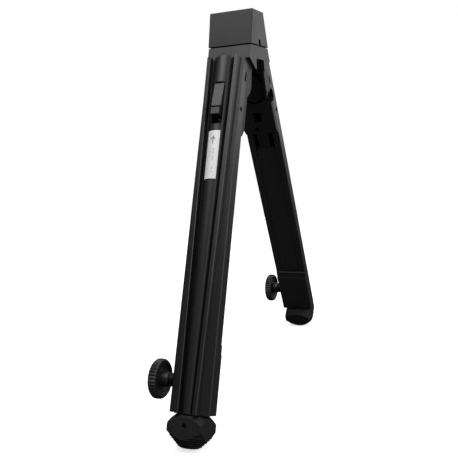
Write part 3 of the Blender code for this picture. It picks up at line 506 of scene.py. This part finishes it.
@dataclass(frozen=True)
class MouldedRubber:
    """Matt black rubber with bloom in its hollows, and edges painted paler as highlight and wear.
    """

    name: str
    colour: Colour = Colour.RUBBER
    roughness: float = 0.66
    gloss: float = 0.30
    # waves per metre
    grain: float = 3600.0
    bloom: float = 160.0
    rim_patches: float = 700.0
    mould_marks: float = 1900.0
    mould_rings: float = 900.0
    # metres
    depth: float = 0.000035
    edge: float = 0.00040
    # strengths
    shades: tuple[float, float] = (0.80, 1.30)
    edge_wear_and_highlight: float = 0.12

    def make(self, turn: float = 0.0) -> bpy.types.Material:
        """Builds the material.

        Args:
            turn: The tilt of the leg about X, in radians.

        Returns:
            The material.
        """
        g = Surface(self.name)
        here = g.place(turn)
        fine = g.noise(here, self.grain, 3.0, 0.65)
        bloom = g.noise(here, self.bloom, 5.0, 0.65).eased(0.40, 0.72)
        rims = g.rims(self.edge) * g.noise(here, self.rim_patches, 3.0).eased(0.35, 0.65)
        height_up = g.axes(here)[2]
        marks = g.noise(g.place(turn, (0.05, 0.05, 1.0)), self.mould_marks, 2.0)
        band = (abs(height_up * self.mould_rings).fraction() - 0.5) * 0.04
        low, high = self.shades
        base = g.blend(bloom, self.colour.shade(low), self.colour.shade(high))
        # Edges turn pale here: a painted highlight as well as wear.
        base = g.blend(rims * self.edge_wear_and_highlight, base, Colour.DUST.rgba)
        rough = self.roughness + bloom * 0.12 + (fine - 0.5) * 0.12 + band
        return g.dress(
            Base_Color=base,
            Roughness=rough.held(),
            Specular_IOR_Level=self.gloss,
            Normal=g.bump(fine * 0.6 + marks * 0.4, self.depth, g.rounded(self.edge)),
        )


@dataclass(frozen=True)
class WorkedMetal:
    """A metal small part: turned or rolled lines, a mottled plating, and edges painted zinc-pale
    as highlight and wear.
    """

    name: str
    colour: Colour
    roughness: float
    metallic: float = 1.0
    # waves per metre, and how far the lines are drawn out along the leg
    lines: float = 2600.0
    mottling: float = 380.0
    stretch: float = 0.05
    # metres
    depth: float = 0.000010
    edge: float = 0.00018
    # strengths
    shades: tuple[float, float] = (0.72, 1.20)
    edge_wear_and_highlight: float = 0.25

    def make(self, turn: float = 0.0) -> bpy.types.Material:
        """Builds the material.

        Args:
            turn: The tilt of the piece about X, in radians.

        Returns:
            The material.
        """
        g = Surface(self.name)
        here = g.place(turn)
        lines = g.noise(g.place(turn, (1.0, 1.0, self.stretch)), self.lines, 2.0, 0.5)
        mottle = g.noise(here, self.mottling, 4.0, 0.6)
        low, high = self.shades
        base = g.blend(mottle, self.colour.shade(low), self.colour.shade(high))
        # Edges turn zinc-pale here: a painted highlight as well as wear.
        base = g.blend(g.rims(self.edge) * self.edge_wear_and_highlight, base, Colour.ZINC.rgba)
        rough = self.roughness + (lines - 0.5) * 0.18 + (mottle - 0.5) * 0.14
        return g.dress(
            Base_Color=base,
            Roughness=rough.held(),
            Metallic=self.metallic,
            Normal=g.bump(lines, self.depth, g.rounded(self.edge)),
        )


@dataclass(frozen=True)
class DashColumn:
    """One column of plain dashes down the label."""

    across: float
    pitch: float
    half_width: float
    strength: float


@dataclass(frozen=True)
class PrintedLabel:
    """A white film label with an arrow and two columns of plain dashes, no lettering."""

    name: str
    centre_x: float
    top: float
    length: float
    shaft_middle: float = 0.0103
    shaft_half_length: float = 0.0036
    shaft_half_width: float = 0.00060
    arrow_tip: float = 0.0066
    arrow_half_width: float = 0.0023
    arrow_slope: float = 1.2
    arrow_line: float = 0.00090
    arrow_strength: float = 0.86
    first_dash: float = 0.0172
    last_margin: float = 0.0046
    dash_length: float = 0.62
    left_out: float = 0.30
    columns: tuple[DashColumn, ...] = (
        DashColumn(-0.0021, 0.00165, 0.00050, 0.30),
        DashColumn(0.0016, 0.00145, 0.00062, 0.60),
    )

    def arrow(self, x: Wire, s: Wire) -> Wire:
        """Draws the arrow that points up the leg.

        Args:
            x: Place across the label.
            s: Place down the label.

        Returns:
            1 on the arrow and 0 off it.
        """
        shaft = (abs(x) < self.shaft_half_width) * (
            abs(s - self.shaft_middle) < self.shaft_half_length
        )
        off_line = abs(abs(x) * self.arrow_slope + self.arrow_tip - s)
        wings = (off_line < self.arrow_line) * (abs(x) < self.arrow_half_width)
        return (shaft + wings).held()

    def dashes(self, g: Surface, x: Wire, s: Wire) -> Wire:
        """Draws the columns of dashes, with some left out.

        Args:
            g: The label's shader.
            x: Place across the label.
            s: Place down the label.

        Returns:
            How dark each dash is, and 0 between them.
        """
        marks: Wire | float = 0.0
        for column in self.columns:
            rows = s / column.pitch
            pick = g.node(
                "ShaderNodeTexWhiteNoise",
                {"W": rows.whole() + column.across * 1e4},
                noise_dimensions="1D",
            )
            inside = (abs(x - column.across) < column.half_width) * (
                rows.fraction() < self.dash_length
            )
            marks = marks + inside * (pick > self.left_out) * column.strength
        return marks * (s > self.first_dash) * (s < self.length - self.last_margin)

    def make(self, turn: float = 0.0) -> bpy.types.Material:
        """Builds the material.

        Args:
            turn: The tilt of the leg about X, in radians.

        Returns:
            The material.
        """
        g = Surface(self.name)
        here = g.place(turn)
        across, _, up = g.axes(here)
        x = across - self.centre_x
        s = self.top - up
        ink = (self.arrow(x, s) * self.arrow_strength + self.dashes(g, x, s)).held()
        fade = g.noise(here, 2400.0, 3.0, 0.6)
        soil = g.noise(here, 120.0, 4.0, 0.6).eased(0.45, 0.85) * 0.05
        paper = g.blend(soil, Colour.PAPER.rgba, Colour.SOILED_PAPER.rgba)
        base = g.blend(ink * (0.75 + fade * 0.25), paper, Colour.INK.rgba)
        return g.dress(
            Base_Color=base,
            Roughness=(0.40 + fade * 0.12 + ink * 0.1).held(),
            Normal=g.bump(fade, 0.000008),
        )


@dataclass(frozen=True)
class StudioSweep:
    """The floor: pale and even to the eye, and dull to the light that it throws back."""

    name: str = "studio_sweep"
    roughness: float = 0.85
    glow: float = 0.72
    bounce: float = 0.10

    def make(self) -> bpy.types.Material:
        """Builds the material.

        Returns:
            The material.
        """
        g = Surface(self.name)
        tone = g.noise(g.place(), 2.0, 3.0)
        lit = g.dress(
            Base_Color=g.blend(tone, Colour.STUDIO.rgba, Colour.PALE_STUDIO.rgba),
            Roughness=self.roughness,
            Emission_Color=Colour.WHITE.rgba,
            Emission_Strength=self.glow,
        )
        seen = g.node("ShaderNodeLightPath", output="Is Camera Ray")
        dull = g.node("ShaderNodeBsdfDiffuse", {"Color": (self.bounce,) * 3 + (1.0,)})
        pale = Wire(g, g.shader.outputs["BSDF"])
        both = g.node("ShaderNodeMixShader", {0: seen, 1: dull, 2: pale})
        g.plug(g.tree.nodes["Material Output"].inputs["Surface"], both)
        return lit


@dataclass(frozen=True)
class Room:
    """What surrounds the stand: white to the eye, and dim with a bright side to the light."""

    name: str = "room"
    dim: float = 0.13
    window: float = 0.90
    window_starts: float = 0.30
    window_full: float = 0.95

    def make(self) -> bpy.types.World:
        """Builds the world.

        Returns:
            The world.
        """
        world = bpy.data.worlds.new(self.name)
        world.use_nodes = True
        g = Graph(world.node_tree)
        across = g.axes(g.node("ShaderNodeTexCoord", output="Generated"))[0]
        light = g.node(
            "ShaderNodeMapRange",
            {
                "Value": across,
                "From Min": self.window_starts,
                "From Max": self.window_full,
                "To Min": self.dim,
                "To Max": self.window,
            },
            interpolation_type="SMOOTHSTEP",
        )
        seen = g.node("ShaderNodeLightPath", output="Is Camera Ray")
        level = g.node("ShaderNodeMapRange", {"Value": seen, "To Min": light, "To Max": 1.0})
        backdrop = g.tree.nodes["Background"]
        g.plug(backdrop.inputs["Color"], Colour.WHITE.rgba)
        g.plug(backdrop.inputs["Strength"], level)
        return world


# ---------------------------------------------------------------- pieces
@dataclass(frozen=True)
class Easing:
    """How a copy of a solid is smoothed: the crease angle is in degrees."""

    crease: float = 28.0
    round_by: float = 0.0
    segments: int = 2


class Part:
    """Makes pieces for the stand from CAD solids or from new shapes."""

    count = 0
    merge_within = 2e-6
    sliver_under = 1e-6
    flat_within = 0.6

    @classmethod
    def link(
        cls, bm: bmesh.types.BMesh, name: str, body: str, finish: bpy.types.Material,
        crease: float = 28.0,
    ) -> bpy.types.Object:
        """Turns a bmesh into a smooth-shaded piece that rides on a body.

        Args:
            bm: The shape, in place. It is freed.
            name: The piece's name.
            body: The CAD body that it moves with.
            finish: Its material.
            crease: The angle past which an edge stays sharp, in degrees.

        Returns:
            The piece.
        """
        limit = math.radians(crease)
        for face in bm.faces:
            face.smooth = True
        for edge in bm.edges:
            edge.smooth = len(edge.link_faces) == 2 and edge.calc_face_angle(0.0) < limit
        mesh = bpy.data.meshes.new(name)
        bm.to_mesh(mesh)
        bm.free()
        piece = bpy.data.objects.new(name, mesh)
        bpy.context.scene.collection.objects.link(piece)
        mesh.materials.append(finish)
        weighted = piece.modifiers.new("even_shading", "WEIGHTED_NORMAL")
        weighted.keep_sharp = True
        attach(piece, body)
        cls.count += 1
        LOG.info("%s rides on %s: %d faces", name, body, len(mesh.polygons))
        return piece

    @classmethod
    def round_edges(cls, bm: bmesh.types.BMesh, easing: Easing) -> None:
        """Joins the facets of each flat face, then rounds its sharp edges.

        Args:
            bm: The shape, changed in place.
            easing: Which edges are sharp and how far they are rounded.
        """
        flat = math.radians(cls.flat_within)
        bmesh.ops.dissolve_limit(bm, angle_limit=flat, verts=bm.verts, edges=bm.edges)
        limit = math.radians(easing.crease)
        sharp = [e for e in bm.edges if e.is_manifold and e.calc_face_angle(0.0) > limit]
        bmesh.ops.bevel(
            bm, geom=sharp, offset=easing.round_by, offset_type="OFFSET", affect="EDGES",
            segments=easing.segments, profile=0.5, material=-1, clamp_overlap=True,
        )

    @classmethod
    def from_solid(
        cls, node: str, finish: bpy.types.Material, easing: Easing | None = None
    ) -> bpy.types.Object:
        """Takes a CAD solid over as a merged and eased copy.

        Args:
            node: The solid's name.
            finish: Its material.
            easing: How its edges are treated.

        Returns:
            The piece that stands for the solid.
        """
        easing = easing or Easing()
        solid = frame["nodes"][node]
        bm = bmesh.new()
        bm.from_mesh(solid.data)
        bmesh.ops.remove_doubles(bm, verts=bm.verts, dist=cls.merge_within)
        bmesh.ops.dissolve_degenerate(bm, dist=cls.sliver_under, edges=bm.edges)
        if easing.round_by:
            cls.round_edges(bm, easing)
        piece = cls.link(bm, f"{node}_finished", solid["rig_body"], finish, easing.crease)
        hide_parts(node)
        return piece


def turned_disc(profile: list[tuple[float, float]], steps: int = 72) -> bmesh.types.BMesh:
    """Spins an outline about Z.

    Args:
        profile: Radius and height pairs, first and last on the axis.
        steps: Faces round the turn.

    Returns:
        The closed shape, facing out.
    """
    bm = bmesh.new()
    verts = [bm.verts.new((radius, 0.0, height)) for radius, height in profile]
    edges = [bm.edges.new(pair) for pair in zip(verts, verts[1:])]
    bmesh.ops.spin(
        bm, geom=verts + edges, cent=(0, 0, 0), axis=(0, 0, 1), angle=math.tau, steps=steps,
        use_merge=True,
    )
    bmesh.ops.remove_doubles(bm, verts=bm.verts, dist=1e-6)
    bmesh.ops.recalc_face_normals(bm, faces=bm.faces)
    return bm


# ---------------------------------------------------------------- sub-assemblies
@dataclass
class Head:
    """The wedge head: cap, body and the steel parts that hold the legs."""

    easing: Easing = Easing(crease=25.0, round_by=0.00045, segments=3)

    def build(self) -> None:
        """Builds every piece of the head."""
        satin = MouldedPlastic("head_satin_plastic", roughness=0.42, gloss=0.40).make()
        steel = WorkedMetal("blackened_steel", Colour.DARK_STEEL, 0.46).make()
        zinc = WorkedMetal("plated_steel", Colour.ZINC, 0.34).make()
        for node in ("head_cap", "head_body"):
            Part.from_solid(node, satin, self.easing)
        for node in ("hinge_yoke", "near_hinge_pin", "far_hinge_pin"):
            Part.from_solid(node, steel)
        for node in ("yoke_screw_1", "yoke_screw_2"):
            Part.from_solid(node, zinc)


@dataclass
class KnobInsert:
    """The round insert in a knob's outer face, with rings cut in its own face."""

    radius: float = 0.0116
    depth: float = 0.00085
    sunk: float = 0.00014
    chamfer: float = 0.0003
    rings: int = 4
    rim: float = 0.0016
    pitch: float = 0.0022
    groove_wall: float = 0.0003
    groove_floor: float = 0.0004
    groove_depth: float = 0.0004

    def outline(self) -> list[tuple[float, float]]:
        """Draws half of the insert's section.

        Returns:
            Radius and height pairs from the axis at the bottom to the axis at the top.
        """
        r, d, c = self.radius, self.depth, self.chamfer
        points = [(0.0, 0.0), (r - c, 0.0), (r, c), (r, d - c), (r - c, d)]
        for ring in range(self.rings):
            outer = r - self.rim - self.pitch * ring
            floor_outer = outer - self.groove_wall
            floor_inner = floor_outer - self.groove_floor
            points += [
                (outer, d),
                (floor_outer, d - self.groove_depth),
                (floor_inner, d - self.groove_depth),
                (floor_inner - self.groove_wall, d),
            ]
        return points + [(0.0, d)]

    def build(self, side: Side, knob: str, finish: bpy.types.Material) -> None:
        """Presses the insert in a knob.

        Args:
            side: The knob's leg.
            knob: The knob's node.
            finish: The insert's material.
        """
        low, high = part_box(knob)
        centre = (low + high) / 2
        seat = Vector((low.x + self.sunk + self.depth, centre.y, centre.z))
        facing_out = Matrix.Rotation(math.radians(-90), 4, "Y")
        bm = turned_disc(self.outline())
        bmesh.ops.transform(bm, matrix=Matrix.Translation(seat) @ facing_out, verts=bm.verts)
        Part.link(bm, f"{side.value}_knob_insert", f"{side.value}_screw", finish)


@dataclass
class Leg:
    """One folding leg: shell, hinge casting, latch, sliding bar, clamp and foot."""

    side: Side
    tilt: float

    def named(self, part: str) -> str:
        """The node name of a part on this leg."""
        return f"{self.side.value}_{part}"

    @property
    def turn(self) -> float:
        """The angle about X that stands this leg upright."""
        return -self.side.sign * self.tilt

    def build(self) -> None:
        """Builds every piece of the leg."""
        self.build_shell()
        self.build_hinge()
        self.build_latch()
        self.build_bar()
        self.build_clamp()

    def build_shell(self) -> None:
        """The ribbed extrusion and, on the near leg, its label."""
        drawn = DrawnAluminium(self.named("drawn_aluminium")).make(self.turn)
        Part.from_solid(self.named("leg_shell"), drawn, Easing(crease=13.0))
        if self.side is Side.NEAR:
            self.build_label()

    def build_label(self) -> None:
        """The white label on the boss."""
        node = self.named("label")
        stand_up = Matrix.Rotation(self.turn, 3, "X")
        points = [stand_up @ v.co for v in frame["nodes"][node].data.vertices]
        xs, zs = [p.x for p in points], [p.z for p in points]
        film = PrintedLabel(
            "printed_label",
            centre_x=(min(xs) + max(xs)) / 2,
            top=max(zs),
            length=max(zs) - min(zs),
        )
        Part.from_solid(node, film.make(self.turn), Easing(crease=40.0))

    def build_hinge(self) -> None:
        """The cast bracket, its cover disc and its rivet."""
        nylon = MouldedPlastic(
            self.named("cast_nylon"), Colour.NYLON, 0.50, grain=3400.0, depth=0.000030, gloss=0.34
        ).make(self.turn)
        steel = WorkedMetal(self.named("rivet_steel"), Colour.DARK_STEEL, 0.42).make(self.turn)
        Part.from_solid(self.named("hinge_bracket"), nylon)
        Part.from_solid(self.named("hinge_cover"), nylon, Easing(crease=22.0))
        Part.from_solid(self.named("bracket_rivet"), steel)

    def build_latch(self) -> None:
        """The thumb button, its slide, cross pin and spring."""
        satin = MouldedPlastic(
            self.named("button_plastic"), roughness=0.36, grain=4200.0, edge=0.0003
        ).make(self.turn)
        steel = WorkedMetal(self.named("slide_steel"), Colour.DARK_STEEL, 0.45).make(self.turn)
        zinc = WorkedMetal(self.named("spring_wire"), Colour.ZINC, 0.32).make(self.turn)
        thumb_worn = Easing(crease=20.0, round_by=0.0007, segments=4)
        Part.from_solid(self.named("slider_button"), satin, thumb_worn)
        Part.from_solid(self.named("latch_slide"), steel)
        Part.from_solid(self.named("latch_pin"), steel)
        self.build_spring(zinc)

    def build_spring(self, finish: bpy.types.Material) -> None:
        """The return spring, on a mesh of its own. The share of its length that it would keep
        under the slide is worked out but not applied.

        Args:
            finish: Its material.
        """
        node = self.named("latch_spring")
        spring = Part.from_solid(node, finish, Easing(crease=50.0))
        up = Vector((0.0, -self.side.sign * math.sin(self.tilt), math.cos(self.tilt)))
        heights = [v.co.dot(up) for v in spring.data.vertices]
        slide = self.named("latch_slide")
        travel = joint(slide)["range_m"][1]
        keep = 1.0 - travel / (max(heights) - min(heights))
        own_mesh(spring)

    def build_bar(self) -> None:
        """The telescoping bar, its guide, the collar, the rubber foot and its pin."""
        drawn = DrawnAluminium(self.named("bar_aluminium"), roughness=0.36).make(self.turn)
        nylon = MouldedPlastic(self.named("guide_nylon"), Colour.NYLON, 0.50).make(self.turn)
        rubber = MouldedRubber(self.named("foot_rubber")).make(self.turn)
        steel = WorkedMetal(self.named("pin_steel"), Colour.DARK_STEEL, 0.40).make(self.turn)
        Part.from_solid(self.named("inner_bar"), drawn)
        Part.from_solid(self.named("bar_guide"), nylon)
        Part.from_solid(self.named("clamp_collar"), nylon, Easing(crease=30.0, round_by=0.0004))
        Part.from_solid(self.named("foot"), rubber, Easing(crease=18.0))
        Part.from_solid(self.named("foot_pin"), steel)

    def build_clamp(self) -> None:
        """The clamp's bush, pad, stud and knob, with the ringed insert in the knob's face."""
        satin = MouldedPlastic(
            self.named("knob_plastic"), roughness=0.44, grain=3800.0, depth=0.000030
        ).make(self.turn)
        zinc = WorkedMetal(self.named("bush_steel"), Colour.ZINC, 0.36).make(self.turn)
        dark = WorkedMetal(self.named("stud_steel"), Colour.DARK_STEEL, 0.40).make(self.turn)
        brass = WorkedMetal(self.named("pad_brass"), Colour.BRASS, 0.32).make(self.turn)
        Part.from_solid(self.named("clamp_bush"), dark)
        Part.from_solid(self.named("clamp_pad"), brass)
        Part.from_solid(self.named("clamp_stud"), zinc)
        Part.from_solid(self.named("thumbscrew_knob"), satin, Easing(crease=26.0))
        KnobInsert().build(self.side, self.named("thumbscrew_knob"), satin)


@dataclass(frozen=True)
class Lamp:
    """One soft square lamp that the camera doesn't see. Its power is in watts."""

    name: str
    place: tuple[float, float, float]
    aim: tuple[float, float, float]
    size: float
    power: float

    def hang(self) -> None:
        """Adds the lamp to the studio."""
        data = bpy.data.lights.new(self.name, "AREA")
        data.shape, data.size, data.energy = "SQUARE", self.size, self.power
        lamp = bpy.data.objects.new(self.name, data)
        bpy.context.scene.collection.objects.link(lamp)
        lamp.visible_camera = False
        lamp.location = self.place
        facing = Vector(self.aim) - Vector(self.place)
        lamp.rotation_euler = facing.to_track_quat("-Z", "Y").to_euler()


LAMPS = (
    Lamp("key_lamp", (0.75, -0.30, 0.66), (0.0, 0.0, 0.36), size=0.40, power=1.4),
    Lamp("front_lamp", (-0.16, -0.46, 1.16), (0.0, -0.06, 0.33), size=0.75, power=6.0),
    Lamp("rim_lamp", (0.34, 1.02, 0.62), (0.0, 0.0, 0.30), size=0.80, power=1.7),
    Lamp("top_lamp", (0.1, 0.5, 2.4), (0.0, 0.2, 0.0), size=2.2, power=20.0),
)


@dataclass
class Studio:
    """Floor, light and camera. The camera stands off the middle of the head's top."""

    head_x: float
    top: float
    sensor: float = 36.0
    lens: float = 49.52
    nearest: float = 0.01
    farthest: float = 50.0
    back: float = 0.6523
    right: float = 0.2465
    drop: float = 0.1198
    yaw: float = 0.395
    pitch: float = -0.1585
    roll: float = -0.0668
    floor_reach: float = 1.2
    floor_squares: int = 8

    def build(self) -> None:
        """Builds the whole studio."""
        self.build_camera()
        self.build_floor()
        self.build_lights()

    def build_camera(self) -> None:
        """Sets the camera in front of the stand's right side, a little rolled."""
        cy, sy = math.cos(self.yaw), math.sin(self.yaw)
        cp, sp = math.cos(self.pitch), math.sin(self.pitch)
        forward = Vector((-sy * cp, cy * cp, sp))
        right = Vector((cy, sy, 0.0))
        up = right.cross(forward)
        c, s = math.cos(self.roll), math.sin(self.roll)
        turned_right, turned_up = c * right + s * up, c * up - s * right
        matrix = Matrix((turned_right, turned_up, -forward)).transposed().to_4x4()
        matrix.translation = Vector((self.head_x + self.right, -self.back, self.top - self.drop))
        data = bpy.data.cameras.new("camera")
        data.sensor_width, data.lens = self.sensor, self.lens
        data.clip_start, data.clip_end = self.nearest, self.farthest
        camera = bpy.data.objects.new("camera", data)
        bpy.context.scene.collection.objects.link(camera)
        camera.matrix_world = matrix
        bpy.context.scene.camera = camera

    def build_floor(self) -> None:
        """Lays the pale floor under the feet."""
        bm = bmesh.new()
        squares = self.floor_squares
        bmesh.ops.create_grid(bm, x_segments=squares, y_segments=squares, size=self.floor_reach)
        mesh = bpy.data.meshes.new("floor")
        bm.to_mesh(mesh)
        bm.free()
        mesh.materials.append(StudioSweep().make())
        floor = bpy.data.objects.new("floor", mesh)
        bpy.context.scene.collection.objects.link(floor)

    def build_lights(self) -> None:
        """Hangs the lamps and puts the room round the stand."""
        for lamp in LAMPS:
            lamp.hang()
        bpy.context.scene.world = Room().make()
        bpy.context.scene.view_settings.view_transform = "Standard"


def joint(name: str) -> dict:
    """The joint of that name."""
    return next(row for row in frame["joints"] if row["name"] == name)


def leg_tilt() -> float:
    """Works out how far a leg leans, from the way its bar slides.

    Returns:
        The angle between a leg and the upright.
    """
    axis = Vector(joint("near_extend")["axis"])
    return math.atan2(abs(axis.y), abs(axis.z))


def main() -> None:
    """Builds the stand and its studio."""
    logging.basicConfig(level=logging.INFO, format="%(message)s")
    tilt = leg_tilt()
    low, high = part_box("head_cap")
    Studio(head_x=(low.x + high.x) / 2, top=high.z).build()
    Head().build()
    for side in Side:
        Leg(side, tilt).build()
    LOG.info("%d pieces", Part.count)


if __name__ == "__main__":
    main()
